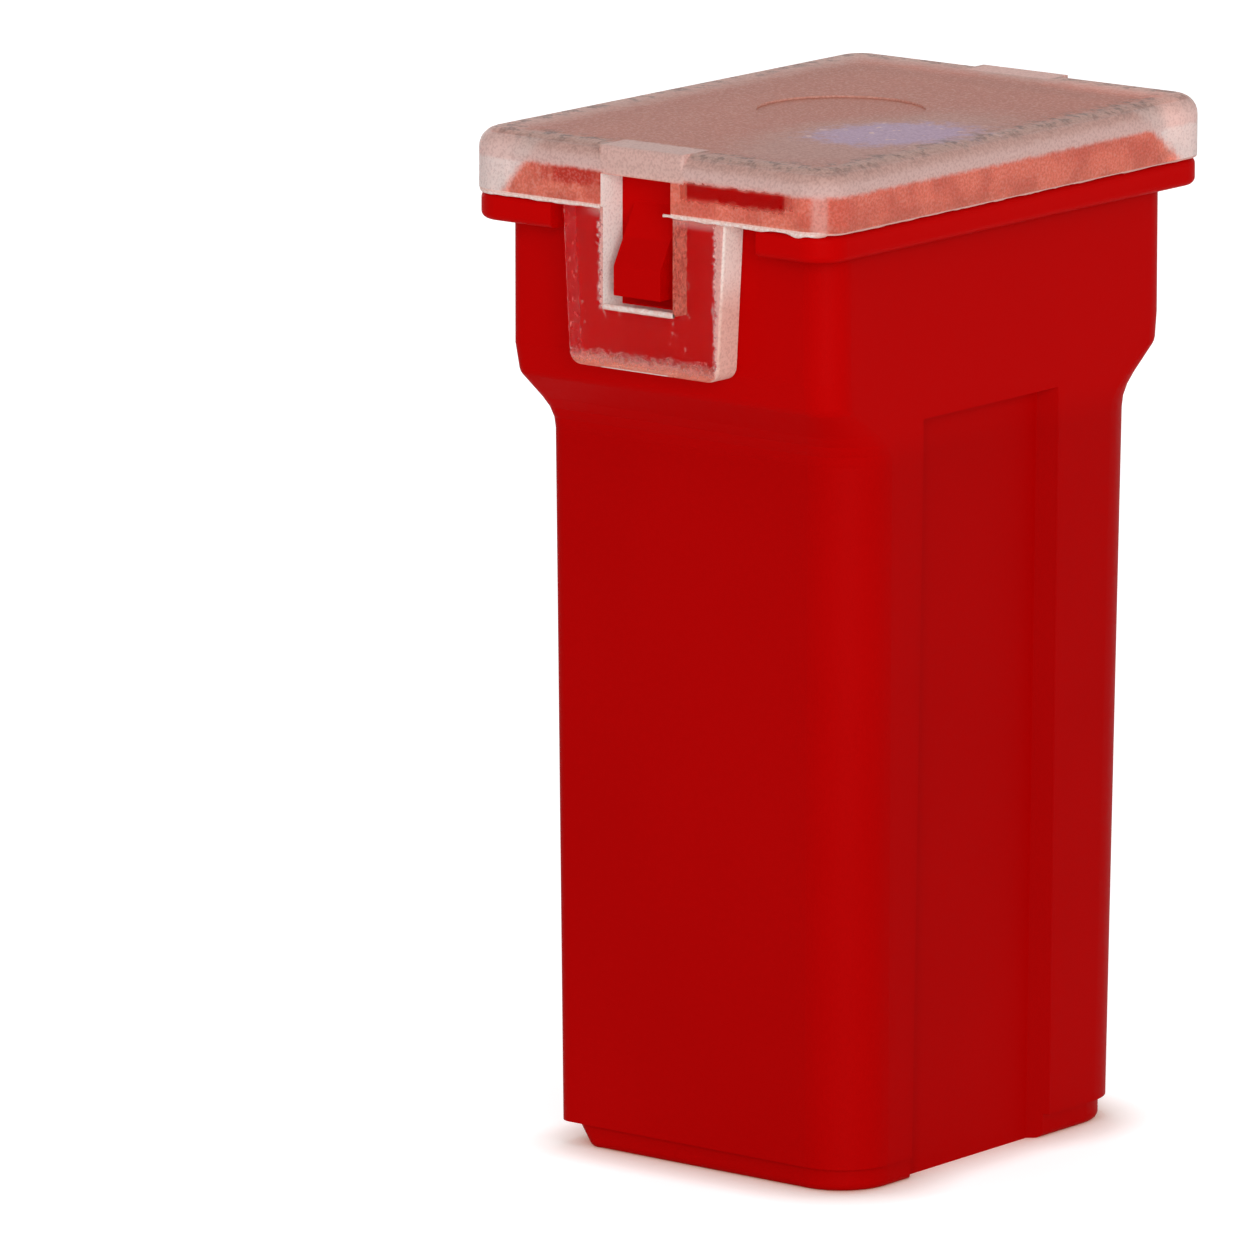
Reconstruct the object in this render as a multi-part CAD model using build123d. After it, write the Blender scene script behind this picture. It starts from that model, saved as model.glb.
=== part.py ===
from build123d import *
import os

# Female cartridge fuse: moulded housing, clear window cover, folded fuse element, rivet and springs.
# X runs across the width, with a latch leg at each end. Y runs through the thickness, with the
# grooved face at -Y. Z is up. The origin is at the bottom, under the middle of the flange.
# All sizes are in millimetres.

# How far a cut runs past the surface that it opens, and a part reaches into the one it joins
overcut = 1.0
overlap = 0.3

# Flange
flange_width = 17.0
flange_depth = 12.2
flange_corner = 0.9
flange_height = 0.76
flange_edge = 0.2

# How far the flange stands out past the neck at the ends, the grooved face and the plain face
end_ledge = 0.925
front_ledge = 0.57
back_ledge = 0.68

# Neck, and the rim that carries on above the flange, inside the cover
neck_height = 4.25
neck_front_corner = 0.9
neck_back_corner = 0.4
neck_taper = 0.09               # how far it draws in at its foot, except at the grooved face
neck_taper_height = 0.8
neck_edge = 0.35
neck_wall = 1.0
rim_height = 0.95

# Shoulder, where the body steps in below the neck
shoulder_height = 1.2
end_step = 1.1
back_step = 0.48
shoulder_curve = 0.45           # height above and below its start in which it curves out of the body
shoulder_bands = 3              # flat bands in that curve

# Body below the shoulder, with its draft down to the foot
body_height = 20.4
end_draft = 0.225
front_draft = 0.21
back_draft = 0.06
body_front_corner = 1.6
body_back_corner = 0.45
body_end_wall = 1.0
body_front_wall = 0.77          # behind the groove
body_back_wall = 0.83

# Foot, set in from the body, and most at the plain face, where it also slopes
foot_height = 0.66
foot_end_inset = 0.16
foot_front_inset = 0.14
foot_back_inset = 0.45
foot_back_slope = 0.45
foot_edge = 0.2

# Groove down the front face
groove_rise = 0.58              # above the start of the shoulder
groove_floor_width = 5.4
groove_middle = -0.5            # towards the left end
groove_top_slope = 0.3          # width of each sloping side at the top
groove_foot_slope = 0.4         # and at the foot
groove_depth = 0.5

# Inside of the housing
chamber_corner = 0.3
web_thickness = 1.2
floor_thickness = 1.3
upper_floor_rise = 1.18         # above the start of the shoulder
slot_width = 1.5
slot_side_gap = 0.3             # past the terminal's inside, at each end of the slot
slot_lead = 0.35

# Cover
cover_overhang = 0.06           # past the flange, all round
cover_lift = 0.03               # from the flange to the skirt
cover_plate = 0.78
cover_top_round = 0.55
cover_edge = 0.08
cover_clearance = 0.05          # between the skirt or the legs and the housing
leg_setback = 0.1               # from the skirt's face to the leg's
leg_width = 5.65
leg_middle = 0.13               # how far its middle is from the cover's, towards the plain face
leg_taper = 0.3                 # how much narrower each side is at the bottom
leg_bar = 1.65                  # height of the bar under the window
leg_corner = 0.4
leg_edge = 0.12
notch_front_gap = 1.04          # from the leg's side to the flange's notch, at the grooved face
notch_back_gap = 0.28           # and at the plain face
window_width = 2.38
window_middle = 0.28            # towards the plain face, as the latch lug's
boss_wall = 0.25                # how much the boss is wider than the window on each side
boss_edge = 0.1
dimple_diameter = 4.6
dimple_depth = 0.05

# Latch lugs on the ends of the neck
lug_drop = 1.55                 # from the flange's underside to the lug's
lug_side_gap = 0.4              # to each side of the window
lug_play = 0.38                 # from the lug down to the leg's bar
lug_flat = 0.8                  # upright part of the lug's face
lug_ramp = 1.65                 # sloping part above it

# Fuse element
strip_thickness = 0.5
terminal_side_gap = 0.4         # to the chamber's wall on each side
terminal_height = 10.0
terminal_bend = 0.8
terminal_seam = 0.4
terminal_gap = 0.1              # to the far wall of its chamber
terminal_web_gap = 0.95         # to the web, where the spring's hook hangs
link_width = 4.2
link_neck_width = 1.3
link_neck_span = 3.4            # length along X of the narrow part
link_pad = 2.6
link_headroom = 2.26            # from the link's bar up to the rim's top
link_dip = 1.9
link_dip_half = 1.9
link_slope_half = 2.7
link_bend = 0.6

# Tin rivet in the link
rivet_shank = 1.2
rivet_head = 2.0
rivet_head_height = 0.45
rivet_head_bevel = 0.2
rivet_clearance = 0.02

# Spring leaf hooked over each terminal
spring_thickness = 0.25
spring_side_gap = 0.45          # to the terminal's inside on each side
spring_hook = 1.6
spring_hook_bend = 0.3
spring_hook_gap = 0.05          # under the bend of the hook
spring_blade_gap = 0.5          # to the terminal's far wall
spring_bow_bend = 1.5
spring_toe_height = 1.0
spring_toe_gap = 0.15
spring_shoulder_height = 8.2
spring_bow_height = 5.0

# Outlines that follow from those
neck_width = flange_width - 2 * end_ledge
neck_front = flange_depth / 2 - front_ledge
neck_back = flange_depth / 2 - back_ledge
neck_end = neck_width / 2
body_top_width = neck_width - 2 * end_step
body_top_back = neck_back - back_step
body_foot_width = body_top_width - 2 * end_draft
body_foot_front = neck_front - front_draft
body_foot_back = body_top_back - back_draft
cover_width = flange_width + 2 * cover_overhang
cover_depth = flange_depth + 2 * cover_overhang
cover_corner = flange_corner + cover_overhang
leg_inner = neck_end + cover_clearance
leg_outer = cover_width / 2 - leg_setback
notch_front = leg_middle - leg_width / 2 - notch_front_gap
notch_back = leg_middle + leg_width / 2 + notch_back_gap
lug_width = window_width - 2 * lug_side_gap
boss_width = window_width + 2 * boss_wall

# Heights that follow from those
neck_bottom = body_height + shoulder_height
flange_under = neck_bottom + neck_height
flange_top = flange_under + flange_height
rim_top = flange_top + rim_height
skirt_bottom = flange_top + cover_lift
cover_top = rim_top + cover_plate
lug_bottom = flange_under - lug_drop
window_bottom = lug_bottom - lug_play
leg_bottom = window_bottom - leg_bar
upper_floor = body_height + upper_floor_rise

# Chambers and terminals, at the +X end
chamber_out = body_foot_width / 2 - body_end_wall
chamber_front = body_foot_front - groove_depth - body_front_wall
chamber_back = body_foot_back - body_back_wall
chamber_depth = chamber_front + chamber_back
chamber_middle = (chamber_back - chamber_front) / 2
terminal_depth = chamber_depth - 2 * terminal_side_gap
terminal_inside = terminal_depth - 2 * strip_thickness
terminal_far = chamber_out - terminal_gap
terminal_near = web_thickness / 2 + terminal_web_gap
terminal_thickness = terminal_far - terminal_near
terminal_top = floor_thickness + terminal_height
link_leg = terminal_far - strip_thickness / 2
link_bar_height = rim_top - link_headroom
link_dip_height = link_bar_height - link_dip
slot_depth = terminal_inside + 2 * slot_side_gap
spring_width = terminal_inside - 2 * spring_side_gap


def outline(width, front, back, front_corner, back_corner, height=0.0):
    """Rectangle with one corner radius at the front (-Y) and another at the back."""
    face = Pos(0, (back - front) / 2) * Rectangle(width, front + back)
    face = fillet(face.vertices().group_by(Axis.Y)[0], front_corner)
    face = fillet(face.vertices().group_by(Axis.Y)[-1], back_corner)
    return Pos(0, 0, height) * face


def between(low, high):
    """Straight-sided solid from one outline up to another."""
    return loft([low, high], ruled=True)


def block(x, y, z):
    """Box between two values on each axis."""
    size = [high - low for low, high in (x, y, z)]
    return Pos(x[0], y[0], z[0]) * Box(*size, align=(Align.MIN, Align.MIN, Align.MIN))


def ends(piece):
    """A piece made for the +X end, and its twin at the -X end."""
    return [piece, mirror(piece, about=Plane.YZ)]


def foot_outline(height, back_inset):
    """Outline of the foot, set in from the body's."""
    return outline(
        body_foot_width - 2 * foot_end_inset,
        body_foot_front - foot_front_inset,
        body_foot_back - back_inset,
        body_front_corner,
        body_back_corner,
        height,
    )


def body():
    """Tapered body on its inset foot."""
    solid = between(
        foot_outline(0, foot_back_inset + foot_back_slope), foot_outline(foot_height, foot_back_inset)
    )
    solid = fillet(solid.edges().group_by(Axis.Z)[0], foot_edge)
    low = outline(
        body_foot_width, body_foot_front, body_foot_back, body_front_corner, body_back_corner, foot_height
    )
    return solid + between(low, shoulder_outline(0, body_height - shoulder_curve))


def shoulder_outline(share, height):
    """Outline that share of the way from the body's top (0) to the neck's foot (1)."""
    width = neck_width - 2 * neck_taper - body_top_width
    back = neck_back - neck_taper - body_top_back
    return outline(
        body_top_width + width * share,
        neck_front,
        body_top_back + back * share,
        body_front_corner + (neck_front_corner - body_front_corner) * share,
        body_back_corner + (neck_back_corner - body_back_corner) * share,
        height,
    )


def shoulder():
    """Slope from the body out to the neck's foot on both ends and on the plain face."""
    straight_start = shoulder_curve / shoulder_height
    sections = []
    for band in range(shoulder_bands + 1):
        along = band / shoulder_bands
        rise = shoulder_curve * (along**2 - (1 - along) ** 2)
        sections.append(shoulder_outline(straight_start * along**2, body_height + rise))
    sections.append(shoulder_outline(1, neck_bottom))
    return loft(sections, ruled=True)


def neck_outline(height, grow=0.0):
    """The neck's outline, moved out by grow."""
    return outline(
        neck_width + 2 * grow,
        neck_front + grow,
        neck_back + grow,
        neck_front_corner + grow,
        neck_back_corner + grow,
        height,
    )


def neck_on_shoulder():
    """Neck and rim above the shoulder, with the edge between slope and neck softened."""
    taper_top = neck_outline(neck_bottom + neck_taper_height)
    solid = shoulder() + between(shoulder_outline(1, neck_bottom), taper_top)
    solid += extrude(taper_top, rim_top - neck_bottom - neck_taper_height)
    edges = solid.edges().filter_by_position(Axis.Z, neck_bottom, neck_bottom)
    front = edges.filter_by_position(Axis.Y, -neck_front, -neck_front)
    return fillet([edge for edge in edges if edge not in front], neck_edge)


def flange():
    """Flange with a notch for the cover's leg in each end."""
    half = flange_depth / 2
    face = outline(flange_width, half, half, flange_corner, flange_corner, flange_under)
    solid = extrude(face, flange_height)
    rims = solid.edges().group_by(Axis.Z)
    solid = fillet(rims[0] + rims[-1], flange_edge)
    notch = block(
        (neck_end, flange_width),
        (notch_front, notch_back),
        (flange_under - overcut, flange_top + overcut),
    )
    for cut in ends(notch):
        solid -= cut
    return solid


def lug():
    """Latch lug on the +X end: a ramp on top, square underneath."""
    root = neck_end - overlap
    ramp_foot = lug_bottom + lug_flat
    profile = Polyline(
        (root, lug_bottom),
        (flange_width / 2, lug_bottom),
        (flange_width / 2, ramp_foot),
        (neck_end, ramp_foot + lug_ramp),
        (root, ramp_foot + lug_ramp),
        close=True,
    )
    return Pos(0, window_middle) * extrude(Plane.XZ * make_face(profile), lug_width / 2, both=True)


def groove_section(slope, face, height):
    """Cut across the groove where the front face is at -face and each side slopes over that width."""
    floor = groove_floor_width / 2
    mouth = floor + slope
    points = [
        (-mouth, -face - overcut),
        (-mouth, -face),
        (-floor, -face + groove_depth),
        (floor, -face + groove_depth),
        (mouth, -face),
        (mouth, -face - overcut),
    ]
    return Pos(groove_middle, 0, height) * make_face(Polyline(*points, close=True))


def groove():
    """Shallow groove with sloping sides, from the foot to just above the shoulder's start."""
    return between(
        groove_section(groove_foot_slope, body_foot_front, 0),
        groove_section(groove_top_slope, neck_front, body_height + groove_rise),
    )


def chamber():
    """Terminal chamber at the +X end, with the blade slot under it."""
    near = web_thickness / 2
    face = Pos((chamber_out + near) / 2, chamber_middle, floor_thickness) * RectangleRounded(
        chamber_out - near, chamber_depth, chamber_corner
    )
    solid = extrude(face, upper_floor - floor_thickness)
    place = Pos(terminal_far - strip_thickness - slot_width / 2, chamber_middle)
    throat = Rectangle(slot_width, slot_depth)
    mouth = Rectangle(slot_width + 2 * slot_lead, slot_depth + 2 * slot_lead)
    slot = place * extrude(throat, floor_thickness)
    lead = place * between(mouth, Pos(0, 0, slot_lead) * throat)
    return solid + slot + lead


def upper_chamber():
    """Room for the link inside the neck, open at the top."""
    face = outline(
        neck_width - 2 * neck_wall,
        neck_front - neck_wall,
        neck_back - neck_wall,
        chamber_corner,
        chamber_corner,
        upper_floor,
    )
    return extrude(face, rim_top - upper_floor)


def housing():
    """The one red moulding."""
    solid = body() + neck_on_shoulder() + flange()
    for part in ends(lug()):
        solid += part
    solid -= groove()
    solid -= upper_chamber()
    for cut in ends(chamber()):
        solid -= cut
    return solid


def cover_leg():
    """Latch leg at the +X end, down from inside the skirt, with softened edges."""
    top = rim_top
    half = leg_width / 2
    low = half - leg_taper
    face = make_face(Polyline((-half, top), (-low, leg_bottom), (low, leg_bottom), (half, top), close=True))
    face = fillet(face.vertices().group_by(Axis.Y)[0], leg_corner)
    solid = Pos(leg_inner, leg_middle) * extrude(Plane.YZ * face, leg_outer - leg_inner)
    outer_edges = solid.edges().group_by(Axis.X)[-1]
    return fillet(outer_edges, leg_edge)


def cover_boss():
    """Square block over the window, where the plate's edge isn't rounded."""
    solid = block(
        (cover_width / 2 - cover_top_round - overlap, cover_width / 2),
        (leg_middle - boss_width / 2, leg_middle + boss_width / 2),
        (rim_top, cover_top),
    )
    return fillet(solid.edges().group_by(Axis.X)[-1], boss_edge)


def cover_dimple():
    """Shallow round dimple in the middle of the plate."""
    bowl = Cylinder(dimple_diameter / 2, overcut, align=(Align.CENTER, Align.CENTER, Align.MIN))
    return Pos(0, 0, cover_top - dimple_depth) * bowl


def window_cover():
    """The one clear moulding: plate, skirt and two latch legs."""
    half = cover_depth / 2
    solid = extrude(
        outline(cover_width, half, half, cover_corner, cover_corner, skirt_bottom), cover_top - skirt_bottom
    )
    solid = fillet(solid.edges().group_by(Axis.Z)[-1], cover_top_round)
    solid = fillet(solid.edges().group_by(Axis.Z)[0], cover_edge)
    solid -= extrude(neck_outline(skirt_bottom, cover_clearance), rim_top - skirt_bottom)
    for part in ends(cover_leg()) + ends(cover_boss()):
        solid += part
    window = block(
        (neck_end, cover_width),
        (window_middle - window_width / 2, window_middle + window_width / 2),
        (window_bottom, rim_top),
    )
    for cut in ends(window):
        solid -= cut
    return solid - cover_dimple()


def terminal():
    """Folded female terminal at the +X end: a box with a seam down its near wall."""
    place = Pos(terminal_far - terminal_thickness / 2, chamber_middle)
    outer = RectangleRounded(terminal_thickness, terminal_depth, terminal_bend)
    inner = RectangleRounded(
        terminal_thickness - 2 * strip_thickness, terminal_inside, terminal_bend - strip_thickness
    )
    seam = Pos(-terminal_thickness / 2) * Rectangle(3 * strip_thickness, terminal_seam)
    return Pos(0, 0, floor_thickness) * extrude(place * (outer - inner - seam), terminal_height)


def link_path():
    """Middle line of the strip that joins the terminals, from left to right."""
    right = [
        (link_dip_half, link_dip_height),
        (link_slope_half, link_bar_height),
        (link_leg, link_bar_height),
        (link_leg, terminal_top - strip_thickness),
    ]
    left = [(-x, z) for x, z in reversed(right)]
    return FilletPolyline(*left, *right, radius=link_bend)


def strip_along(path, width, thickness):
    """Strip of one width along a path drawn in X and Z, centred on the chambers' middle."""
    path = Plane.XZ * path
    section = Plane(path @ 0, x_dir=(0, 1, 0), z_dir=path % 0) * Rectangle(width, thickness)
    return Pos(0, chamber_middle) * sweep(section, path=path)


def link():
    """Arched link: wide on its legs, narrow over the middle, with a pad round the rivet."""
    strip = strip_along(link_path(), link_width, strip_thickness)
    half_span = link_neck_span / 2
    half_neck = link_neck_width / 2
    span = (-half_span, half_span)
    heights = (link_dip_height - strip_thickness, link_bar_height + strip_thickness)
    for side in ((-link_width, -half_neck), (half_neck, link_width)):
        strip -= Pos(0, chamber_middle) * block(span, side, heights)
    centre = Pos(0, chamber_middle, link_dip_height)
    pad = Cylinder(link_pad / 2, strip_thickness)
    hole = Cylinder(rivet_shank / 2 + rivet_clearance, 3 * strip_thickness)
    return strip + centre * pad - centre * hole


def fuse_element():
    """Both terminals and the link, stamped and folded from one strip."""
    solid = link()
    for part in ends(terminal()):
        solid += part
    return solid


def tin_rivet():
    """Rivet with a low bevelled head on each side of the link."""
    seat = strip_thickness / 2
    base = (Align.CENTER, Align.CENTER, Align.MIN)
    head = Pos(0, 0, seat) * Cylinder(rivet_head / 2, rivet_head_height, align=base)
    head = chamfer(head.edges().group_by(Axis.Z)[-1], rivet_head_bevel)
    shank = Cylinder(rivet_shank / 2, strip_thickness)
    rivet = shank + head + mirror(head, about=Plane.XY)
    return Pos(0, chamber_middle, link_dip_height) * rivet


def terminal_spring():
    """Leaf hooked over the terminal's near wall and bowed towards its far wall."""
    outside = terminal_near - spring_thickness / 2
    inside = terminal_near + strip_thickness + spring_thickness / 2
    bend_height = terminal_top + spring_hook_bend + spring_hook_gap
    bow = terminal_far - strip_thickness - spring_blade_gap - spring_thickness / 2
    path = FilletPolyline(
        (outside, terminal_top - spring_hook),
        (outside, bend_height),
        (inside, bend_height),
        (inside, floor_thickness + spring_shoulder_height),
        (bow, floor_thickness + spring_bow_height),
        (inside + spring_toe_gap, floor_thickness + spring_toe_height),
        radius=[spring_hook_bend, spring_hook_bend, spring_bow_bend, spring_bow_bend],
    )
    return strip_along(path, spring_width, spring_thickness)


spring_right, spring_left = ends(terminal_spring())
nodes = {
    "housing": housing(),
    "window_cover": window_cover(),
    "fuse_element": fuse_element(),
    "tin_rivet": tin_rivet(),
    "terminal_spring_left": spring_left,
    "terminal_spring_right": spring_right,
}

os.makedirs("parts", exist_ok=True)
for name, shape in nodes.items():
    export_step(shape, f"parts/{name}.step")
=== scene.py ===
"""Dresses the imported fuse: a red housing under a clear latched cover, with metals inside.

The CAD's solids stay as they are and get procedural materials. One thin piece of trim is added,
the moulding flash along the cover's lower edge. Lengths are in millimetres, and are multiplied by
MM where Blender needs metres. -X is the end that faces the camera's left, and -Y the grooved side.
"""

import math

import bmesh
import bpy
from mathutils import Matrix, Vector, noise


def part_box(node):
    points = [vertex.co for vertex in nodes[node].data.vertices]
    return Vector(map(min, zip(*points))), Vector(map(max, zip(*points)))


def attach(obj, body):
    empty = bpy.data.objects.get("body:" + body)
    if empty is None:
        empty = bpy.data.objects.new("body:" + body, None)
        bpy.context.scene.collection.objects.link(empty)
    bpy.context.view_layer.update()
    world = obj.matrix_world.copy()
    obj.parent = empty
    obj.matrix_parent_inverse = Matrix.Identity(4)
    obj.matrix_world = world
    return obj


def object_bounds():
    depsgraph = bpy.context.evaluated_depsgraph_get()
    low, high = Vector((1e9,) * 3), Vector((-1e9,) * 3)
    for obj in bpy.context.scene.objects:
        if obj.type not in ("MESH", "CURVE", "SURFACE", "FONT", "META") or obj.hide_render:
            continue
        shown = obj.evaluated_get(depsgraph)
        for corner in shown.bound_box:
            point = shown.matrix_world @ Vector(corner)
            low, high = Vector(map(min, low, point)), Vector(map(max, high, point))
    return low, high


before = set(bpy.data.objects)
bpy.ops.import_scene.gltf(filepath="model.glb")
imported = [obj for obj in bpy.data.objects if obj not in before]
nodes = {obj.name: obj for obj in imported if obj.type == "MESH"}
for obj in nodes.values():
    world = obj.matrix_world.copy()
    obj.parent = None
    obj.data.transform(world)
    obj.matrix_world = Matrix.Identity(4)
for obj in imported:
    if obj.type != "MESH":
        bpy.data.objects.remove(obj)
cad_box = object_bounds()
scene = bpy.context.scene
scene.view_settings.view_transform = "Standard"
MM = 0.001

# ---------------------------------------------------------------- places on the CAD

# Heights on the housing and the cover
BODY_TOP = 20.4
GROOVE_TOP = 21.0
WINDOW_BOTTOM = 23.92
FLANGE_BOTTOM = 25.85
SKIRT_BOTTOM = 26.64
ROUNDING_LOW = 27.62

# Housing: the groove's sides along X, and its floor and the wall behind it along Y
GROOVE_LEFT = -3.2
GROOVE_RIGHT = 2.2
GROOVE_FLOOR = -5.15
GROOVE_WALL = -4.7

# Cover: places along Y on its ends, and where along X its tab begins
COVER_CORNER = 0.96
LEG_FRONT = -2.7
LEG_SETBACK = 0.1
LEG_BACK_SLOPE = 0.11
WINDOW_FRONT = -0.91
WINDOW_BACK = 1.47
TAB_FRONT = -1.35
TAB_BACK = 1.45
TAB_INNER = 7.5

# ---------------------------------------------------------------- marks on the clear cover

# On top: the pale border's inner end at the far sides, and each mark's place, half width and
# half depth, and turn in degrees
BORDER_END = 2.0
HAZE_PLACE = (-3.2, -3.8)
HAZE_SIZE = (5.0, 2.9)
SMEAR_PLACE = (-2.35, -3.6)
SMEAR_SIZE = (2.3, 1.7)
SMEAR_TURN = -28.0
# area of the painted glints round the smear
GLINT_SIZE = (3.0, 2.2)

# On the skirt's ends: the clear band and the deep red one, from and to
CLEAR_BAND_Y = (-4.8, -1.3)
CLEAR_BAND_Z = (27.16, 27.72)
DEEP_BAND_Y = (1.5, 3.3)
DEEP_BAND_Z = (27.2, 27.62)

# Slanting lines on the skirt, past which no red lies behind it, and where they fade in: y + 0.8 z
# on the ends, and x + 1.2 z on the long sides
PAST_BACK = (26.0, 26.4)
PAST_BACK_SLOPE = 0.8
PAST_RIGHT = (38.8, 39.4)
PAST_RIGHT_SLOPE = 1.2
ENDS_FROM = (7.5, 7.9)
SIDES_FROM = (5.4, 5.8)

# Pale streak down the skirt's rounded left front corner, between two values of x - y
CORNER_STREAK = (-2.9, -2.3)
CORNER_FROM = (-7.5, -7.8)

# Height in which the leg's front side turns from pink to pale
LEG_SIDE_FADE = (24.0, 25.4)

# ---------------------------------------------------------------- moulding flash

# Bead round the cover's lower edge: its radius on the ends and on the long sides, its least
# radius, its coarse and fine lumps, and one drip at an angle round the cover
FLASH_RADIUS = 0.052
FLASH_THIN = 0.025
FLASH_LEAST = 0.018
FLASH_LUMPS = 9.0
FLASH_FINER = 3.1
FLASH_FINE_SHARE = 0.6
FLASH_UNEVEN = 0.8
FLASH_DRIP_ANGLE = 211.0
FLASH_DRIP_SPREAD = 1.2
FLASH_DRIP_RADIUS = 0.06
FLASH_STEPS = 720
TUBE_SIDES = 8

# Bead on each window's sill
SILL_RADIUS = 0.085
SILL_LUMPS = 4.0
SILL_UNEVEN = 0.3
SILL_STEPS = 40

# ---------------------------------------------------------------- colours

RED_LOW = (0.425, 0.0002, 0.0002, 1)
RED_HIGH = (0.45, 0.0004, 0.0004, 1)
# painted light on the neck and flange
RED_PAINTED_LIGHT = (0.54, 0.0003, 0.0003, 1)
# painted shade in the groove
RED_PAINTED_SHADE = (0.2, 0.0001, 0.0001, 1)

# How much painted shade the groove's two sloping sides get, and its floor beside the left one
LEFT_SIDE_SHADE = 0.6
RIGHT_SIDE_SHADE = 0.22
FLOOR_SHADE = 0.4

CLEAR = (0.98, 0.93, 0.92, 1)
SKIRT_PINK = (1.0, 0.26, 0.175, 1)
SKIRT_DEEP_RED = (0.75, 0.03, 0.015, 1)
SKIRT_STREAK = (0.98, 0.5, 0.42, 1)
SKIRT_PALE = (0.98, 0.84, 0.8, 1)
LEG_FUZZ = (1.0, 0.36, 0.26, 1)
LEG_DOTS = (1.0, 0.4, 0.3, 1)
LEG_HALO = (1.0, 0.62, 0.54, 1)
TOP_BROWN = (0.62, 0.18, 0.11, 1)
DIMPLE_WALL = (0.74, 0.36, 0.28, 1)
HAZE_BROWN = (0.61, 0.3, 0.245, 1)
BORDER_PALE = (0.72, 0.45, 0.385, 1)
ROUNDING_UPPER = (0.76, 0.45, 0.39, 1)
# painted highlight on the rounded edge's lower side
ROUNDING_PAINTED_HIGHLIGHT = (0.9, 0.59, 0.54, 1)
ROUNDING_PALE = (0.95, 0.8, 0.75, 1)
TAB_PINK = (0.88, 0.56, 0.5, 1)
SMEAR_VIOLET = (0.57, 0.42, 0.66, 1)
# painted glints
PAINTED_GLINT_PINK = (1.0, 0.72, 0.62, 1)
SPECK_DARK = (0.2, 0.12, 0.105, 1)
LEG_SIDE_PINK = (0.86, 0.55, 0.46, 1)
LEG_SIDE_PALE = (1.0, 0.9, 0.82, 1)
BACK_WALL_PALE = (1.0, 0.96, 0.9, 1)
FRONT_WALL_PINK = (1.0, 0.4, 0.28, 1)
# painted highlight on the windows' sills
SILL_PAINTED_HIGHLIGHT = (1.0, 1.0, 0.95, 1)
LIP_PINK = (1.0, 0.7, 0.62, 1)
GRAIN_DARK = (0.3, 0.1, 0.08, 1)
GRAIN_LIGHT = (1.0, 0.75, 0.68, 1)

FLASH_PINK = (0.9, 0.6, 0.53, 1)
FLASH_PALE = (1.0, 0.85, 0.8, 1)
FLASH_DULL = (0.78, 0.42, 0.36, 1)

# ---------------------------------------------------------------- light and camera

# Strength of the light from all round, the floor's own glow, and the shadow close to the part
AMBIENT = 0.57
FLOOR_GLOW = 0.6
FLOOR_GREY = (0.85, 0.85, 0.85, 1)
SHADOW_REACH = 1.7
SHADOW_TINT = (0.3, 0.12, 0.05, 1)
SHADOW_SAMPLES = 2
WHITE = (1, 1, 1, 1)

# In metres
FLOOR_SIZE = 3.0
LAMP_SIZE = 0.3
LAMP_DISTANCE = 0.5

# Angles in degrees; the lens is in millimetres too
CAMERA_AZIMUTH = 52.287
CAMERA_ELEVATION = 11.755
CAMERA_DISTANCE = 346.17
CAMERA_LENS = 365.3
CAMERA_TARGET = 13.7
CAMERA_AIM_RIGHT = -5.85
CAMERA_AIM_UP = 0.36


# ---------------------------------------------------------------- materials by nodes


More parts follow.
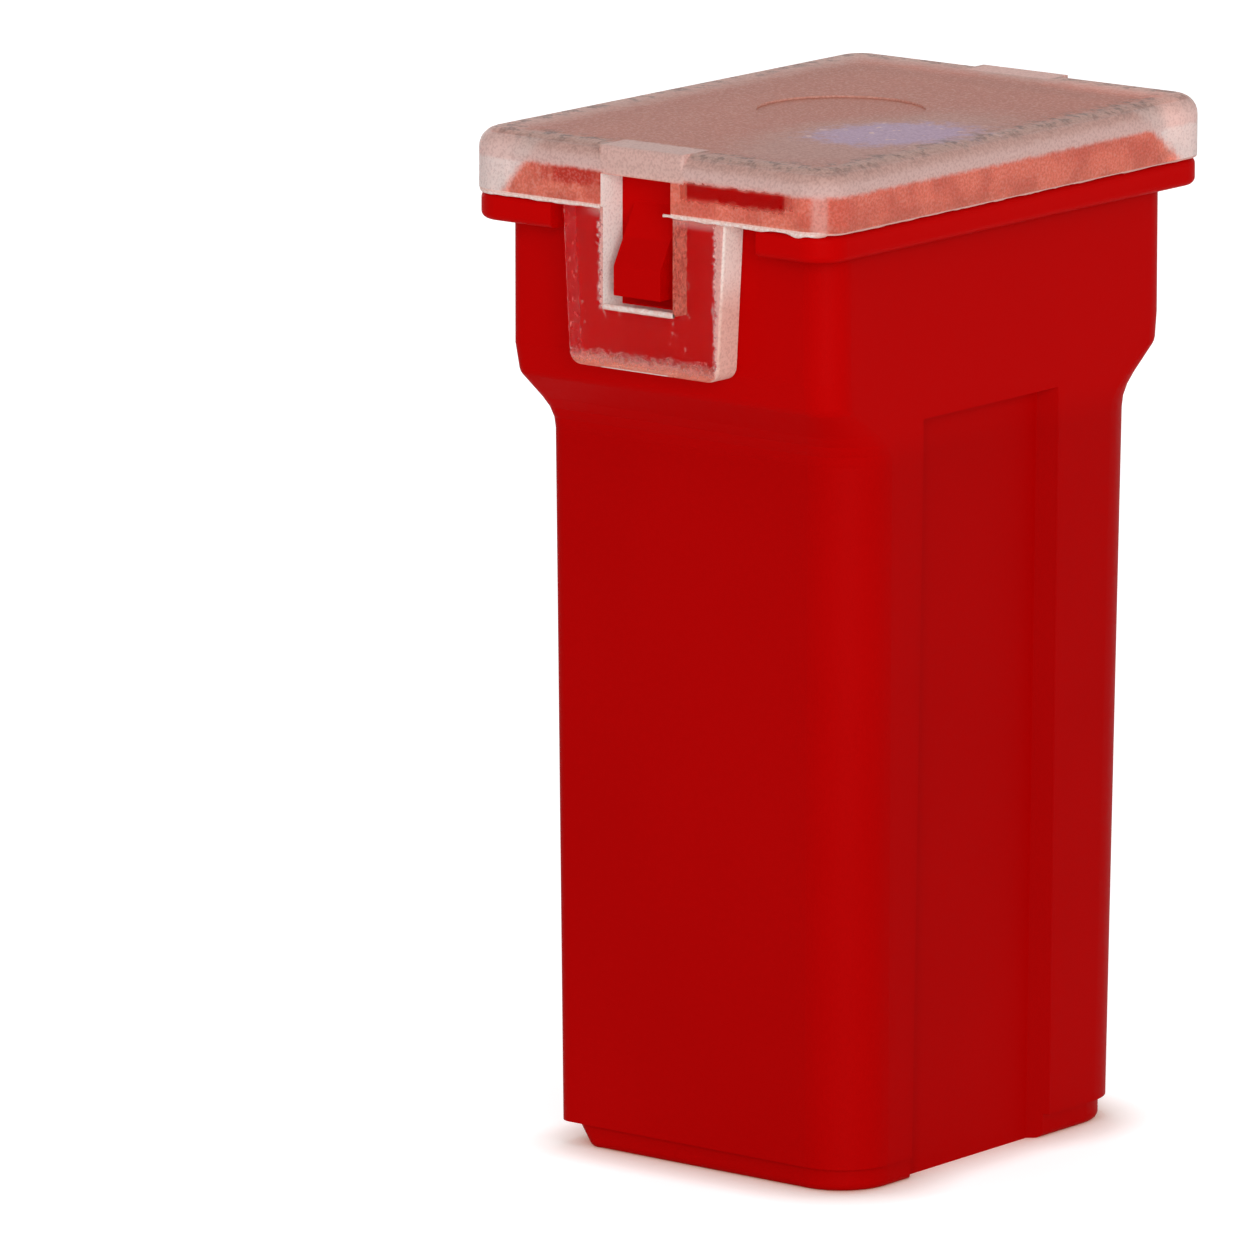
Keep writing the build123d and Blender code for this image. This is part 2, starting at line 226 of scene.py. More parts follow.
class Graph:
    """A material and its nodes. Positions in it are in millimetres, in the CAD's frame."""

    def __init__(self, name):
        self.material = bpy.data.materials.new(name)
        self.material.use_nodes = True
        self.tree = self.material.node_tree
        self.tree.nodes.clear()
        self.out = self.add("ShaderNodeOutputMaterial")
        self.shader = self.add("ShaderNodeBsdfPrincipled")
        self.link(self.shader.outputs[0], self.out.inputs["Surface"])
        coordinates = self.add("ShaderNodeTexCoord").outputs
        self.place = self.vector("SCALE", coordinates["Object"], scale=1 / MM)
        self.x, self.y, self.z = self.split(self.place)
        self.facing = [self.math("ABSOLUTE", part) for part in self.split(coordinates["Normal"])]

    def add(self, kind, **settings):
        node = self.tree.nodes.new(kind)
        for key, value in settings.items():
            setattr(node, key, value)
        return node

    def link(self, source, socket):
        self.tree.links.new(source, socket)

    def feed(self, socket, value):
        """Links an output to the socket, or sets it to a number or colour."""
        if isinstance(value, bpy.types.NodeSocket):
            self.link(value, socket)
        else:
            socket.default_value = value

    def set(self, **values):
        """Feeds sockets of the shader, whose names have spaces for underscores."""
        for key, value in values.items():
            self.feed(self.shader.inputs[key.replace("_", " ")], value)

    def split(self, vector):
        node = self.add("ShaderNodeSeparateXYZ")
        self.link(vector, node.inputs[0])
        return node.outputs

    def vector(self, operation, a, b=None, scale=None):
        node = self.add("ShaderNodeVectorMath", operation=operation)
        self.feed(node.inputs[0], a)
        if b is not None:
            self.feed(node.inputs[1], b)
        if scale is not None:
            self.feed(node.inputs["Scale"], scale)
        return node.outputs["Vector"]

    def math(self, operation, a, b=None, clamp=False):
        node = self.add("ShaderNodeMath", operation=operation, use_clamp=clamp)
        self.feed(node.inputs[0], a)
        if b is not None:
            self.feed(node.inputs[1], b)
        return node.outputs[0]

    def times(self, *values):
        result = values[0]
        for value in values[1:]:
            result = self.math("MULTIPLY", result, value)
        return result

    def plus(self, *values):
        result = values[0]
        for value in values[1:]:
            result = self.math("ADD", result, value)
        return result

    def most(self, *values):
        result = values[0]
        for value in values[1:]:
            result = self.math("MAXIMUM", result, value)
        return result

    def ramp(self, value, start, end, low=0.0, high=1.0):
        """From low to high as value goes from start to end, smoothly."""
        node = self.add("ShaderNodeMapRange", interpolation_type="SMOOTHSTEP")
        for socket, number in zip(node.inputs, (value, start, end, low, high)):
            self.feed(socket, number)
        return node.outputs[0]

    def mix(self, factor, a, b):
        """From colour a to colour b as factor goes from 0 to 1."""
        node = self.add("ShaderNodeMix", data_type="RGBA")
        for socket, value in zip((node.inputs[0], node.inputs[6], node.inputs[7]), (factor, a, b)):
            self.feed(socket, value)
        return node.outputs[2]

    def blend(self, factor, a, b):
        """From number a to number b as factor goes from 0 to 1."""
        node = self.add("ShaderNodeMix", data_type="FLOAT")
        for socket, value in zip(node.inputs[:1] + node.inputs[2:4], (factor, a, b)):
            self.feed(socket, value)
        return node.outputs[0]

    def noise(self, scale, detail=2.0, roughness=0.5, stretch=None):
        """Noise from 0 to 1, with that many lumps a millimetre."""
        node = self.add("ShaderNodeTexNoise")
        place = self.vector("MULTIPLY", self.place, stretch) if stretch else self.place
        self.link(place, node.inputs["Vector"])
        node.inputs["Scale"].default_value = scale
        node.inputs["Detail"].default_value = detail
        node.inputs["Roughness"].default_value = roughness
        return node.outputs["Fac"]

    def bump(self, height, depth, strength=1.0):
        """A normal for a surface whose height goes up by depth millimetres."""
        node = self.add("ShaderNodeBump")
        self.link(height, node.inputs["Height"])
        node.inputs["Distance"].default_value = depth * MM
        node.inputs["Strength"].default_value = strength
        return node.outputs["Normal"]

    def inside(self, value, low, high, soft):
        """1 where value lies between low and high, fading over soft on each side."""
        rising = self.ramp(value, low - soft, low + soft)
        falling = self.ramp(value, high + soft, high - soft)
        return self.times(rising, falling)

    def spot(self, place, size, turn, soft, wobble):
        """1 within an ellipse seen from above, turned by that many degrees, with a soft edge."""
        c, s = math.cos(math.radians(turn)), math.sin(math.radians(turn))
        a, b = self.plus(self.x, -place[0]), self.plus(self.y, -place[1])
        u = self.plus(self.times(a, c / size[0]), self.times(b, s / size[0]))
        v = self.plus(self.times(b, c / size[1]), self.times(a, -s / size[1]))
        far = self.math("SQRT", self.plus(self.times(u, u), self.times(v, v)))
        return self.ramp(self.plus(far, wobble), 1 + soft, 1 - soft)

    def from_edge(self, across, along, half_width, half_depth, corner):
        """How far a point is inside a rectangle with rounded corners, seen from above."""
        a, b = self.plus(across, corner - half_width), self.plus(along, corner - half_depth)
        out_a, out_b = self.math("MAXIMUM", a, 0.0), self.math("MAXIMUM", b, 0.0)
        outside = self.math("SQRT", self.plus(self.times(out_a, out_a), self.times(out_b, out_b)))
        within = self.math("MINIMUM", self.math("MAXIMUM", a, b), 0.0)
        return self.math("SUBTRACT", corner, self.plus(outside, within))


def dress(node, graph):
    """Gives a CAD node that material."""
    for slot in nodes[node].material_slots:
        slot.material = graph.material


# ---------------------------------------------------------------- red housing


def red_plastic():
    """Moulded polyamide, coloured through, with a fine spark-eroded skin."""
    g = Graph("red_plastic")
    clouds = g.noise(0.12, 2.0)
    grain = g.noise(7.0, 3.0, 0.6)
    tone = g.plus(g.ramp(clouds, 0.3, 0.7, -0.3, 0.3), g.ramp(grain, 0.3, 0.7, -0.2, 0.2))
    color = g.mix(g.ramp(tone, -0.5, 0.5), RED_LOW, RED_HIGH)

    # painted light: brighter from the shoulder up, and again on the flange
    on_neck = g.ramp(g.z, BODY_TOP - 0.7, BODY_TOP + 0.5)
    on_flange = g.ramp(g.z, FLANGE_BOTTOM - 0.05, FLANGE_BOTTOM + 0.05)
    color = g.mix(g.plus(g.times(on_neck, 0.55), g.times(on_flange, 0.35)), color, RED_PAINTED_LIGHT)

    # painted shade: darker on the groove's sloping sides, and on its floor next to the left one
    below_top = g.ramp(g.z, GROOVE_TOP + 0.1, GROOVE_TOP - 0.1)
    in_groove = g.times(g.ramp(g.y, GROOVE_WALL + 0.1, GROOVE_WALL - 0.1), below_top)
    sloping = g.times(
        g.inside(g.facing[0], 0.4, 0.97, 0.05), g.inside(g.facing[1], 0.3, 0.95, 0.05)
    )
    near_groove = g.inside(g.x, GROOVE_LEFT - 0.6, GROOVE_RIGHT + 0.6, 0.1)
    side_shade = g.ramp(g.x, -1.0, 1.0, LEFT_SIDE_SHADE, RIGHT_SIDE_SHADE)
    sides = g.times(sloping, near_groove, side_shade)
    beside_left = g.inside(g.x, GROOVE_LEFT, GROOVE_LEFT + 0.25, 0.45)
    floor_depth = g.ramp(g.y, GROOVE_FLOOR - 0.15, GROOVE_FLOOR)
    on_floor = g.times(beside_left, floor_depth, FLOOR_SHADE)
    color = g.mix(g.times(in_groove, g.most(sides, on_floor)), color, RED_PAINTED_SHADE)

    g.set(
        Base_Color=color,
        Roughness=g.ramp(grain, 0.25, 0.75, 0.44, 0.54),
        Specular_IOR_Level=0.018,
        IOR=1.5,
        Normal=g.bump(grain, 0.008, 0.5),
    )
    return g


# ---------------------------------------------------------------- clear cover


class CoverGraph(Graph):
    """The clear cover's material, with the noises, distances and areas that its zones share.

    A zone is a share from 0 to 1, a veil and a colour. The veil is the part of the light that the
    skin scatters, and the rest goes through.
    """

    def __init__(self):
        super().__init__("frosted_plastic")
        low, high = (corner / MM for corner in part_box("window_cover"))
        self.half_width, self.half_depth, self.top = high
        self.bottom = low.z
        self.sand = self.noise(13.0, 1.0, 0.6)
        self.fuzz = self.plus(self.noise(2.6, 4.0, 0.75), -0.5)
        self.fluff = self.plus(self.noise(7.0, 3.0, 0.7), -0.5)
        self.across = self.math("ABSOLUTE", self.x)
        self.along = self.math("ABSOLUTE", self.y)
        self.rim = self.from_edge(
            self.across, self.along, self.half_width, self.half_depth, COVER_CORNER
        )
        self.upright = self.ramp(self.facing[2], 0.7, 0.5)
        self.above_legs = self.ramp(self.z, SKIRT_BOTTOM - 0.04, SKIRT_BOTTOM + 0.02)
        self.past_body = self.most(
            self.times(
                self.ramp(self.slanting(self.y, PAST_BACK_SLOPE, 0.4), *PAST_BACK),
                self.ramp(self.across, *ENDS_FROM),
            ),
            self.times(
                self.ramp(self.slanting(self.x, PAST_RIGHT_SLOPE, 0.9), *PAST_RIGHT),
                self.ramp(self.along, *SIDES_FROM),
            ),
        )

    def slanting(self, value, slope, fuzz):
        """The value plus slope times the height, made uneven by that much fuzz."""
        return self.plus(value, self.times(self.z, slope), self.times(self.fuzz, fuzz))

    def ragged(self, value, fuzz, fluff):
        """The value made uneven by that much coarse fuzz and fine fluff."""
        return self.plus(value, self.times(self.fuzz, fuzz), self.times(self.fluff, fluff))


def skirt_zones(g):
    """Red shows through the skirt, which is cloudy but for a clear band on each end."""
    lumps = g.noise(1.1, 2.0)
    skirt = g.times(g.above_legs, g.upright, g.ramp(g.rim, 0.16, 0.1))
    on_end = g.ramp(g.across, g.half_width - 0.5, g.half_width - 0.4)
    streaks = g.plus(g.noise(3.0, 2.0, 0.6, (1.0, 1.0, 0.12)), -0.5)
    wavy_y = g.plus(g.y, g.times(g.fuzz, 0.5), g.times(streaks, 2.4))
    wavy_z = g.ragged(g.z, 0.3, 0.2)
    clear_y, clear_z = g.inside(wavy_y, *CLEAR_BAND_Y, 0.3), g.inside(wavy_z, *CLEAR_BAND_Z, 0.12)
    deep_y, deep_z = g.inside(wavy_y, *DEEP_BAND_Y, 0.4), g.inside(wavy_z, *DEEP_BAND_Z, 0.1)
    corner_streak = g.times(
        g.inside(g.math("SUBTRACT", g.x, g.y), *CORNER_STREAK, 0.12), g.ramp(g.x, *CORNER_FROM)
    )
    return [
        (skirt, g.ramp(lumps, 0.35, 0.65, 0.46, 0.66), SKIRT_PINK),
        (g.times(skirt, on_end, clear_y, clear_z), 0.0, SKIRT_PINK),
        (g.times(skirt, on_end, deep_y, deep_z, 0.8), 0.45, SKIRT_DEEP_RED),
        (g.times(skirt, corner_streak, 0.8), 0.6, SKIRT_STREAK),
        (g.times(skirt, g.past_body), 0.7, SKIRT_PALE),
    ]


def leg_zones(g):
    """The legs are clear, with fuzz at the foot, a halo along the edges and sparse specks."""
    on_leg = g.ramp(g.z, SKIRT_BOTTOM + 0.02, SKIRT_BOTTOM - 0.04)
    under_skirt = g.ramp(g.z, SKIRT_BOTTOM - 0.35, SKIRT_BOTTOM - 0.02)
    before_back = g.ramp(g.y, 2.2, 1.5)
    fuzzy = g.most(
        g.ramp(g.ragged(g.z, 0.4, 0.5), g.bottom + 0.42, g.bottom + 0.12),
        g.times(under_skirt, before_back, 0.8),
    )
    ragged_y = g.ragged(g.y, 0.3, 0.5)
    halo = g.most(
        g.ramp(ragged_y, LEG_FRONT + 0.46, LEG_FRONT + 0.3),
        g.times(
            g.inside(ragged_y, WINDOW_BACK - 0.1, WINDOW_BACK + 0.12, 0.08),
            g.ramp(g.y, WINDOW_BACK - 0.02, WINDOW_BACK),
            g.ramp(g.z, WINDOW_BOTTOM - 0.1, WINDOW_BOTTOM + 0.1),
        ),
    )
    dots = g.ramp(g.noise(6.0, 2.0, 0.7, (1, 1, 0.8)), 0.62, 0.66)
    lines = g.most(
        g.inside(g.plus(g.y, g.times(g.z, -LEG_BACK_SLOPE)), -0.05, 0.12, 0.08),
        g.inside(g.y, WINDOW_BACK - 0.1, WINDOW_BACK + 0.1, 0.1),
        g.inside(g.y, WINDOW_FRONT - 0.1, WINDOW_FRONT + 0.1, 0.1),
    )
    return [
        (g.times(on_leg, fuzzy), 0.42, LEG_FUZZ),
        (g.times(on_leg, dots, lines, 0.8), 0.4, LEG_DOTS),
        (g.times(on_leg, halo, 0.85), 0.62, LEG_HALO),
    ]


def top_zones(g):
    """The frosted top and its rounded edge, with a painted highlight low on the edge, haze, a
    violet smear, painted glints and dark specks.
    """
    on_plate = g.ramp(g.rim, 1.0, 1.2)
    in_dimple = g.times(on_plate, g.ramp(g.z, g.top - 0.6, g.top - 0.5))
    on_top = g.most(g.ramp(g.z, g.top - 0.14, g.top - 0.07), in_dimple)

    # pale border, wider at the far sides
    to_right = g.math("SUBTRACT", g.half_width, g.x)
    to_back = g.math("SUBTRACT", g.half_depth, g.y)
    far_rim = g.plus(g.math("MINIMUM", to_right, to_back), g.times(g.fuzz, 1.2))
    near_rim = g.plus(g.rim, g.times(g.fuzz, 0.8))
    border = g.times(on_top, g.most(g.ramp(far_rim, BORDER_END, 0.6), g.ramp(near_rim, 0.9, 0.35)))

    # rounded edge, with a painted highlight on its lower side, and the tab that fills it over each
    # window
    above_skirt = g.ramp(g.ragged(g.z, 0.22, 0.08), ROUNDING_LOW - 0.08, ROUNDING_LOW + 0.08)
    rounding = g.times(above_skirt, g.ramp(g.z, g.top - 0.07, g.top - 0.14))
    # painted highlight: lighter towards the rounded edge's lower side
    rounding_and_highlight_color = g.mix(
        g.ramp(g.z, g.top - 0.2, g.top - 0.5), ROUNDING_UPPER, ROUNDING_PAINTED_HIGHLIGHT
    )
    tab = g.times(
        g.inside(g.y, TAB_FRONT, TAB_BACK, 0.06),
        g.ramp(g.plus(g.across, g.times(g.fuzz, 0.3)), TAB_INNER - 0.1, TAB_INNER + 0.1),
        g.ramp(g.z, ROUNDING_LOW - 0.1, ROUNDING_LOW),
    )

    # marks, and painted glints round the smear
    haze = g.spot(HAZE_PLACE, HAZE_SIZE, 0.0, 0.35, g.times(g.fuzz, 0.6))
    smear = g.spot(SMEAR_PLACE, SMEAR_SIZE, SMEAR_TURN, 0.3, g.times(g.fuzz, 1.5))
    around_smear = g.spot(SMEAR_PLACE, GLINT_SIZE, SMEAR_TURN, 0.3, 0.0)
    # painted highlight: glints round the smear
    glints = g.ramp(g.noise(1.9, 2.0, 0.5, (1.5, 1.5, 1.0)), 0.66, 0.72)
    pits = g.ramp(g.noise(2.1, 3.0, 0.65, (1.3, 1.0, 1.6)), 0.48, 0.62)
    at_turn = g.times(g.inside(g.rim, 0.25, 1.0, 0.3), g.ramp(g.z, g.top - 0.5, g.top - 0.3))
    off_tab = g.math("SUBTRACT", 1.0, tab)
    return [
        (on_top, 0.66, TOP_BROWN),
        (g.times(on_top, on_plate, g.upright), 0.8, DIMPLE_WALL),
        (g.times(on_top, haze, 0.8), 0.68, HAZE_BROWN),
        (border, 0.7, BORDER_PALE),
        (rounding, 0.7, rounding_and_highlight_color),
        (g.times(rounding, g.past_body, 0.4), 0.7, ROUNDING_PALE),
        (tab, 0.72, TAB_PINK),
        (g.times(on_top, smear, 0.8), 0.75, SMEAR_VIOLET),
        (g.times(on_top, around_smear, glints, 0.7), 0.75, PAINTED_GLINT_PINK),
        (g.times(pits, at_turn, off_tab, 0.72), 0.75, SPECK_DARK),
    ]


def edge_zones(g):
    """Cut edges: the legs' front sides, the windows' walls, the sills with a painted highlight, and
    the skirt's lip.
    """
    edge = g.times(
        g.ramp(g.across, g.half_width - 1.05, g.half_width - 0.95),
        g.ramp(g.along, 5.0, 4.9),
        g.ramp(g.most(g.facing[1], g.facing[2]), 0.5, 0.8),
        g.ramp(g.z, g.top - 0.6, g.top - 0.7),
    )
    leg_side = g.times(edge, g.ramp(g.y, LEG_FRONT + 0.6, LEG_FRONT + 0.5))
    leg_side_color = g.mix(g.ramp(g.z, *LEG_SIDE_FADE), LEG_SIDE_PINK, LEG_SIDE_PALE)
    back_wall = g.times(edge, g.inside(g.y, WINDOW_BACK - 0.2, WINDOW_BACK + 0.1, 0.05))
    front_wall = g.times(edge, g.inside(g.y, WINDOW_FRONT - 0.1, WINDOW_FRONT + 0.2, 0.05))
    front_wall_veil = g.ramp(g.fluff, -0.15, 0.15, 0.3, 0.7)
    # painted highlight: the windows' sills are near white
    sill = g.times(edge, g.inside(g.y, WINDOW_FRONT + 0.2, WINDOW_BACK - 0.2, 0.05))
    lip = g.times(
        g.ramp(g.z, SKIRT_BOTTOM + 0.1, SKIRT_BOTTOM + 0.06), g.above_legs, g.ramp(g.rim, 0.3, 0.2)
    )
    on_ends = g.ramp(g.facing[1], 0.8, 0.5)
    return [
        (leg_side, 0.9, leg_side_color),
        (back_wall, 0.96, BACK_WALL_PALE),
        (front_wall, front_wall_veil, FRONT_WALL_PINK),
        (sill, 0.96, SILL_PAINTED_HIGHLIGHT),
        (g.times(lip, on_ends), 0.85, LIP_PINK),
    ]


def frosted_plastic():
    """Clear moulded plastic: frosted on top and on its cut edges, clear on the legs' faces."""
    g = CoverGraph()
    veil, color = 0.0, CLEAR
    zones = skirt_zones(g) + leg_zones(g) + top_zones(g) + edge_zones(g)
    for share, new_veil, new_color in zones:
        veil = g.blend(share, veil, new_veil)
        color = g.mix(share, color, new_color)
    seen_grain = g.ramp(veil, 0.1, 0.5)
    color = g.mix(g.times(g.ramp(g.sand, 0.52, 0.36), seen_grain, 0.2), color, GRAIN_DARK)
    color = g.mix(g.times(g.ramp(g.sand, 0.5, 0.64), seen_grain, 0.18), color, GRAIN_LIGHT)
    g.set(
        Base_Color=color,
        Roughness=g.plus(g.times(veil, 0.45), 0.1),
        Transmission_Weight=g.math("SUBTRACT", 1.0, veil, clamp=True),
        Specular_IOR_Level=0.15,
        Specular_Tint=(0.12, 0.08, 0.08, 1),
        IOR=1.25,
        Normal=g.bump(g.sand, 0.02, 0.5),
    )
    return g


# ---------------------------------------------------------------- moulding flash


def pale_plastic():
    """The cover's plastic where it is squeezed thin: pale on the ends, duller on the long sides."""
    g = Graph("pale_plastic")
    sand = g.noise(9.0, 3.0, 0.6)
    pale = g.mix(g.ramp(sand, 0.35, 0.65), FLASH_PINK, FLASH_PALE)
    half_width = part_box("window_cover")[1].x / MM
    on_end = g.ramp(g.math("ABSOLUTE", g.x), half_width - 0.3, half_width - 0.1)
    g.set(
        Base_Color=g.mix(on_end, FLASH_DULL, pale),
        Roughness=0.4,
        Transmission_Weight=0.15,
        Specular_IOR_Level=0.3,
        IOR=1.3,
        Normal=g.bump(sand, 0.02, 0.5),
    )
    return g


def rounded_rectangle(out, half_x, half_y, corner):
    """Where a ray in that direction from the middle meets a rectangle with rounded corners."""
    flat_x, flat_y = half_x - corner, half_y - corner
    reach = min(half_x / max(abs(out.x), 1e-9), half_y / max(abs(out.y), 1e-9))
    place = out * reach
    if abs(place.x) > flat_x and abs(place.y) > flat_y:
        middle = Vector((math.copysign(flat_x, out.x), math.copysign(flat_y, out.y), 0))
        offset = middle.dot(out)
        under_root = offset**2 - middle.length_squared + corner**2
        place = out * (offset + math.sqrt(max(0.0, under_root)))
    return place


def tube(mesh, centres, outs, radii):
    """Adds a round tube with closed ends through those centres; outs point away from the part."""
    up = Vector((0, 0, 1))
    turns = [2 * math.pi * side / TUBE_SIDES for side in range(TUBE_SIDES)]
    rings = []
    for centre, out, radius in zip(centres, outs, radii):
        spokes = [out * math.cos(turn) + up * math.sin(turn) for turn in turns]
        rings.append([mesh.verts.new(centre + radius * spoke) for spoke in spokes])
    mesh.faces.new(rings[0])
    mesh.faces.new(rings[-1][::-1])
    for ring, following in zip(rings, rings[1:]):
        corners = zip(ring, ring[1:] + ring[:1], following[1:] + following[:1], following)
        for a, b, c, d in corners:
            mesh.faces.new((a, d, c, b))


def flash_runs(high):
    """Centres, outward directions and radii of the bead's two runs from window to window."""
    runs, run = [], []
    for step in range(FLASH_STEPS):
        angle = 2 * math.pi * (step + 0.5) / FLASH_STEPS
        out = Vector((math.cos(angle), math.sin(angle), 0))
        coarse = noise.noise(out * FLASH_LUMPS)
        wobble = coarse + FLASH_FINE_SHARE * noise.noise(out * FLASH_LUMPS * FLASH_FINER)
        past_drip = (math.degrees(angle) - FLASH_DRIP_ANGLE) / FLASH_DRIP_SPREAD
        drip = FLASH_DRIP_RADIUS * math.exp(-(past_drip**2))
        on_end = abs(out.x) * high.y > abs(out.y) * high.x
        thick = FLASH_RADIUS if on_end else FLASH_THIN
        radius = MM * max(FLASH_LEAST, thick * (1 + FLASH_UNEVEN * wobble) + drip)
        centre = rounded_rectangle(out, high.x - radius, high.y - radius, COVER_CORNER * MM)
        centre.z = (SKIRT_BOTTOM + 0.03) * MM - 0.6 * radius
        if on_end and WINDOW_FRONT + 0.3 < centre.y / MM < WINDOW_BACK:
            if run:
                runs.append(run)
            run = []
        else:
            run.append((centre, out, radius))
    runs[0] = run + runs[0]
    return runs


def sill_run(high, end):
    """Centres, outward directions and radii of the bead on one window's sill; end is -1 or 1."""
    out = Vector((end, 0, 0))
    face = high.x - LEG_SETBACK * MM
    run = []
    for step in range(SILL_STEPS + 1):
        y = WINDOW_FRONT + (WINDOW_BACK - WINDOW_FRONT) * step / SILL_STEPS
        wobble = noise.noise(Vector((end, y * SILL_LUMPS, 0)))
        radius = MM * SILL_RADIUS * (1 + SILL_UNEVEN * wobble)
        centre = Vector((end * (face - 0.6 * radius), y * MM, WINDOW_BOTTOM * MM + 0.3 * radius))
        run.append((centre, out, radius))
    return run


def moulding_flash():
    """Uneven bead of flash round the cover's lower edge, open at the windows, and on each sill."""
    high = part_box("window_cover")[1]
    mesh = bmesh.new()
    for run in flash_runs(high) + [sill_run(high, -1), sill_run(high, 1)]:
        tube(mesh, *zip(*run))
    bmesh.ops.recalc_face_normals(mesh, faces=mesh.faces)
    add_piece("moulding_flash", mesh, pale_plastic())


def add_piece(name, mesh, graph):
    """Turns a bmesh into a smooth piece of the part, in that material."""
    data = bpy.data.meshes.new(name)
    mesh.to_mesh(data)
    mesh.free()
    data.materials.append(graph.material)
    data.shade_smooth()
    piece = bpy.data.objects.new(name, data)
    scene.collection.objects.link(piece)
    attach(piece, "root")


# ---------------------------------------------------------------- metals


def metal(name, dark, light, roughness, stretch):
    """Rolled or cast metal with a fine grain along one direction."""
    g = Graph(name)
    grain = g.noise(3.0, 4.0, 0.6, stretch)
    spots = g.noise(0.9, 3.0)
    g.set(
        Base_Color=g.mix(g.ramp(spots, 0.35, 0.7), (*dark, 1), (*light, 1)),
        Metallic=1.0,
        Roughness=g.ramp(grain, 0.3, 0.7, roughness - 0.07, roughness + 0.08),
        Normal=g.bump(grain, 0.01, 0.4),
    )
    return g


def dress_part():
    """Materials for the CAD's nodes, and the one piece that is added."""
    dress("housing", red_plastic())
    dress("window_cover", frosted_plastic())
    copper = metal("tinned_copper", (0.55, 0.49, 0.42), (0.72, 0.67, 0.6), 0.36, (1, 1, 0.15))
    dress("fuse_element", copper)
    moulding_flash()
    tin = metal("cast_tin", (0.52, 0.52, 0.53), (0.68, 0.68, 0.69), 0.5, (1, 1, 1))
    dress("tin_rivet", tin)
    steel = metal("spring_steel", (0.45, 0.45, 0.46), (0.6, 0.6, 0.61), 0.28, (1, 1, 0.1))
    dress("terminal_spring_left", steel)
    dress("terminal_spring_right", steel)


# ---------------------------------------------------------------- studio


def empty_tree(owner):
    """The cleared node tree of a new material or world."""
    owner.use_nodes = True
    owner.node_tree.nodes.clear()
    return owner.node_tree


def seen_directly(tree):
    """1 for camera, glossy and transmission rays, and 0 for the others."""
    light = tree.nodes.new("ShaderNodeLightPath")
    total = light.outputs["Is Camera Ray"]
    for name in ("Is Glossy Ray", "Is Transmission Ray"):
        node = tree.nodes.new("ShaderNodeMath")
        node.operation = "ADD"
        node.use_clamp = True
        tree.links.new(total, node.inputs[0])
        tree.links.new(light.outputs[name], node.inputs[1])
        total = node.outputs[0]
    return total


def make_world():
    """White to look at, and a weaker soft light from all round."""
    world = bpy.data.worlds.new("studio")
    tree = empty_tree(world)
    strength = tree.nodes.new("ShaderNodeMapRange")
    tree.links.new(seen_directly(tree), strength.inputs["Value"])
    strength.inputs["To Min"].default_value = AMBIENT
    strength.inputs["To Max"].default_value = 1.0
    background = tree.nodes.new("ShaderNodeBackground")
    background.inputs["Color"].default_value = WHITE
    tree.links.new(strength.outputs[0], background.inputs["Strength"])
    out = tree.nodes.new("ShaderNodeOutputWorld")
    tree.links.new(background.outputs[0], out.inputs["Surface"])
    scene.world = world


def floor_glow(tree):
    """Light that lifts the floor to white for the camera, warm and weak close to the part."""
    open_sky = tree.nodes.new("ShaderNodeAmbientOcclusion")
    open_sky.samples = SHADOW_SAMPLES
    open_sky.inputs["Distance"].default_value = SHADOW_REACH * MM
    shade = tree.nodes.new("ShaderNodeMapRange")
    shade.inputs["From Min"].default_value = 0.5
    shade.inputs["From Max"].default_value = 1.0
    tree.links.new(open_sky.outputs["AO"], shade.inputs["Value"])
    tint = tree.nodes.new("ShaderNodeMix")
    tint.data_type = "RGBA"
    tree.links.new(shade.outputs[0], tint.inputs[0])
    tint.inputs[6].default_value = SHADOW_TINT
    tint.inputs[7].default_value = WHITE
    strength = tree.nodes.new("ShaderNodeMath")
    strength.operation = "MULTIPLY"
    tree.links.new(seen_directly(tree), strength.inputs[0])
    strength.inputs[1].default_value = FLOOR_GLOW
    glow = tree.nodes.new("ShaderNodeEmission")
    tree.links.new(tint.outputs[2], glow.inputs["Color"])
    tree.links.new(strength.outputs[0], glow.inputs["Strength"])
    return glow.outputs[0]


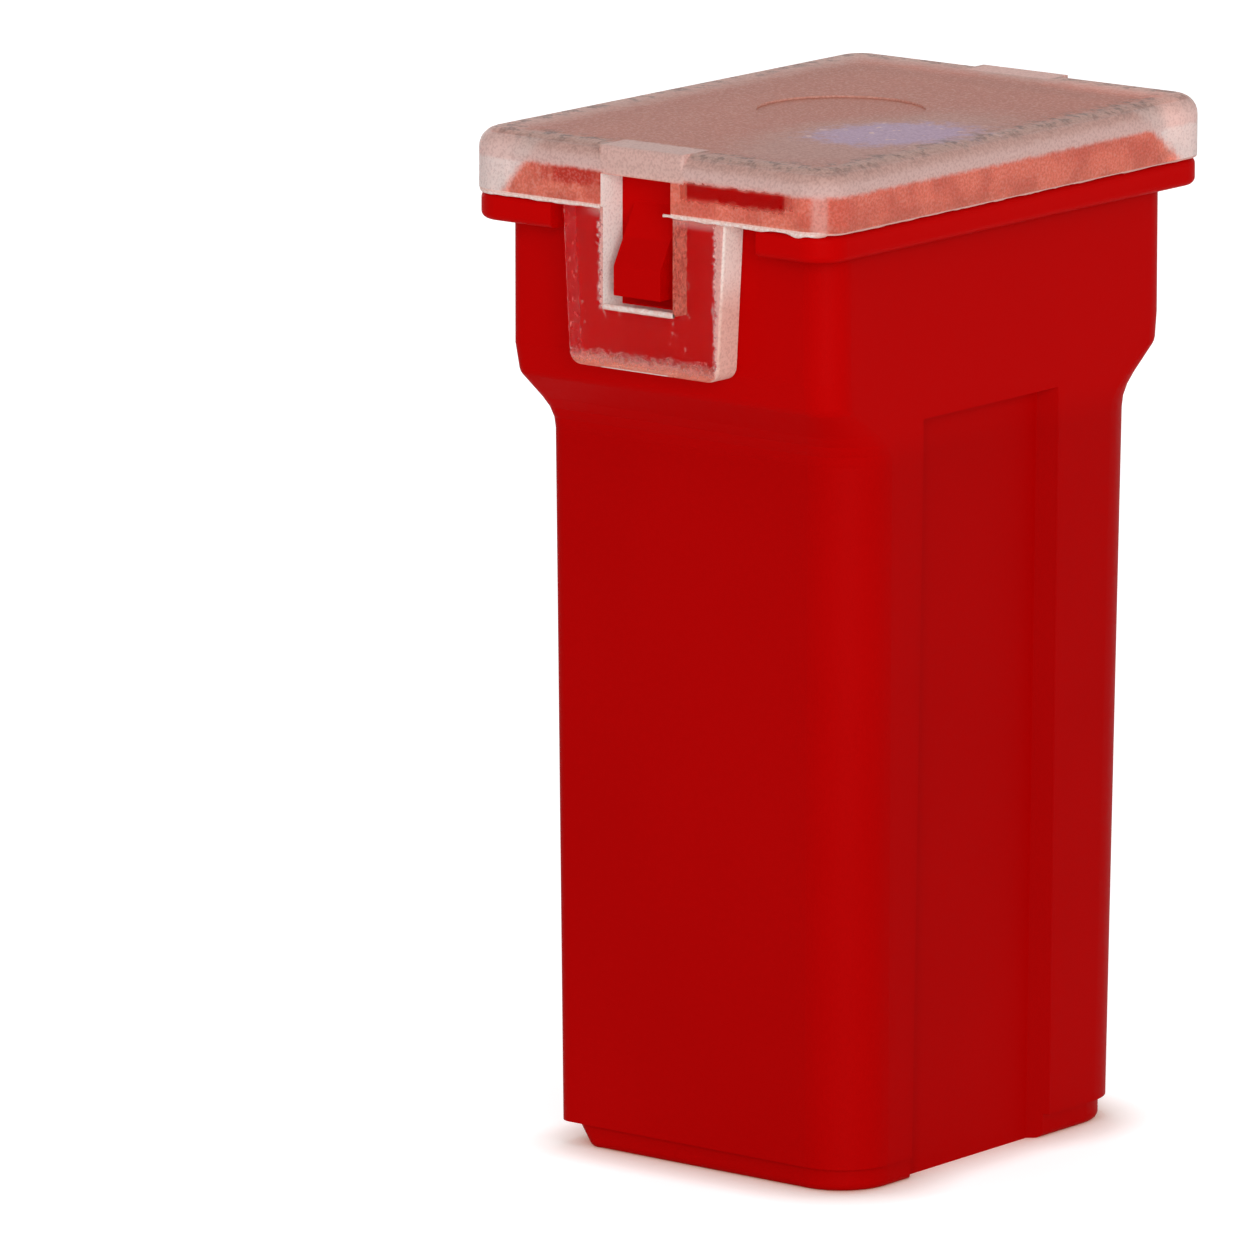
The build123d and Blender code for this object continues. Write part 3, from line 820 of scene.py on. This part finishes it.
def make_floor():
    """Pale matt floor that shows white to the camera, apart from a warm shadow by the part."""
    bpy.ops.mesh.primitive_plane_add(size=FLOOR_SIZE)
    floor = bpy.context.object
    floor.name = "floor"
    material = bpy.data.materials.new("floor")
    tree = empty_tree(material)
    diffuse = tree.nodes.new("ShaderNodeBsdfDiffuse")
    diffuse.inputs["Color"].default_value = FLOOR_GREY
    both = tree.nodes.new("ShaderNodeAddShader")
    tree.links.new(diffuse.outputs[0], both.inputs[0])
    tree.links.new(floor_glow(tree), both.inputs[1])
    out = tree.nodes.new("ShaderNodeOutputMaterial")
    tree.links.new(both.outputs[0], out.inputs["Surface"])
    floor.data.materials.append(material)


def direction(azimuth, elevation):
    """Unit vector from the part towards a place at that azimuth, 0 being -Y and -90 being -X."""
    a, e = math.radians(azimuth), math.radians(elevation)
    return Vector((math.sin(a) * math.cos(e), -math.cos(a) * math.cos(e), math.sin(e)))


def lamp(name, azimuth, elevation, power):
    """Square soft lamp that looks at the middle of the part."""
    data = bpy.data.lights.new(name, "AREA")
    data.shape = "SQUARE"
    data.size = LAMP_SIZE
    data.energy = power
    obj = bpy.data.objects.new(name, data)
    scene.collection.objects.link(obj)
    towards = direction(azimuth, elevation)
    obj.location = (cad_box[0] + cad_box[1]) / 2 + towards * LAMP_DISTANCE
    obj.rotation_mode = "QUATERNION"
    obj.rotation_quaternion = (-towards).to_track_quat("-Z", "Y")


def make_camera():
    """The photograph's viewpoint, with the part right of the middle as there."""
    back = direction(-CAMERA_AZIMUTH, CAMERA_ELEVATION)
    right = back.cross(Vector((0, 0, 1))).normalized() * -1
    up = back.cross(right)
    data = bpy.data.cameras.new("camera")
    data.lens = CAMERA_LENS
    data.sensor_width = 36.0
    data.clip_start = 0.01
    data.clip_end = 10.0
    obj = bpy.data.objects.new("camera", data)
    scene.collection.objects.link(obj)
    target = Vector((0, 0, CAMERA_TARGET * MM))
    obj.location = target + back * CAMERA_DISTANCE * MM
    aim = target + right * CAMERA_AIM_RIGHT * MM + up * CAMERA_AIM_UP * MM
    obj.rotation_mode = "QUATERNION"
    obj.rotation_quaternion = (aim - obj.location).to_track_quat("-Z", "Y")
    scene.camera = obj


dress_part()
make_camera()
make_world()
make_floor()
lamp("key", azimuth=-46, elevation=10, power=1.4)
lamp("fill", azimuth=150, elevation=6, power=0.6)
